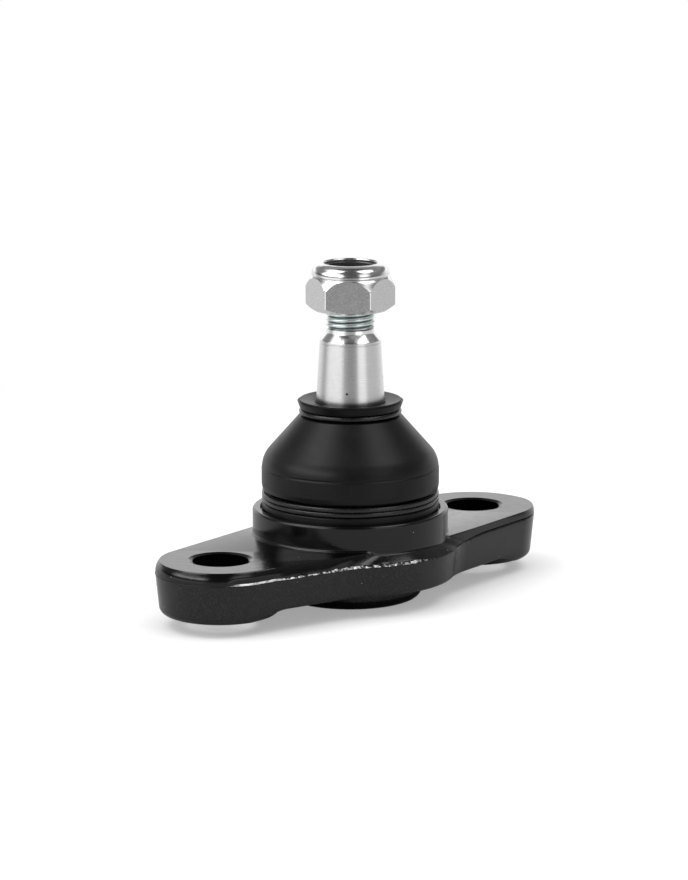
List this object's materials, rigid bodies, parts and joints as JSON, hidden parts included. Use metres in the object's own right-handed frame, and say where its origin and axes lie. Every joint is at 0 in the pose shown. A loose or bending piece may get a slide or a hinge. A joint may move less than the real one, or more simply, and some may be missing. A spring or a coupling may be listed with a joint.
{
  "type": "suspension ball joint",
  "caption": "Suspension ball joint: two-bolt forged flange, ball stud with taper and self-locking nut under a rubber dust boot.",
  "frame": {"origin": "on the stud's axis at rest, in the plane of the rolled rim's underside", "axes": "+Z along the stud towards the nut, X through the two bolt holes"},
  "size_m": [0.1362, 0.0618, 0.0957],
  "materials": {
    "housing": "satin black coating over forged steel",
    "seat_plastic": "moulded acetal",
    "spring_steel": "spring steel",
    "cover_steel": "black phosphated sheet steel",
    "stud_steel": "ground taper, polished ball, zinc-plated thread",
    "boot_rubber": "satin black rubber",
    "ring_steel": "black oxide wire",
    "bush_plastic": "black moulded plastic",
    "nut_steel": "zinc-plated steel",
    "insert_nylon": "dark nylon"
  },
  "bodies": {
    "housing": {"housing": "housing", "upper_ball_seat": "seat_plastic", "lower_ball_seat": "seat_plastic", "preload_spring": "spring_steel", "bottom_cover": "cover_steel", "lower_clamp_ring": "ring_steel"},
    "boot": {"dust_boot": "boot_rubber"},
    "boot_collar": {"boot_bush": "bush_plastic", "upper_clamp_ring": "ring_steel"},
    "stud": {"ball_stud": "stud_steel"},
    "insert": {"nut_insert": "insert_nylon"},
    "nut": {"lock_nut": "nut_steel"}
  },
  "joints": [
    {"name": "lean_direction", "type": "hinge", "parent": "housing", "child": "boot", "pos_m": [0, 0, 0.0225], "axis": [0, 0, 1], "continuous": true},
    {"name": "stud_lean", "type": "hinge", "parent": "boot", "child": "boot_collar", "pos_m": [0, 0, 0.0225], "axis": [0, 1, 0], "range_deg": [-22, 22], "deforming": ["dust_boot"]},
    {"name": "stud_spin", "type": "hinge", "parent": "boot_collar", "child": "stud", "pos_m": [0, 0, 0.0225], "axis": [0, 0, 1], "continuous": true},
    {"name": "nut_rise", "type": "slide", "parent": "stud", "child": "insert", "axis": [0, 0, 1], "range_m": [0, 0.0075]},
    {"name": "nut_turn", "type": "hinge", "parent": "insert", "child": "nut", "pos_m": [0, 0, 0.089], "axis": [0, 0, 1], "range_deg": [0, 1800]}
  ],
  "couplings": [
    {"joint": "nut_rise", "follows": "nut_turn", "m_per_rad": 0.00023873}
  ]
}
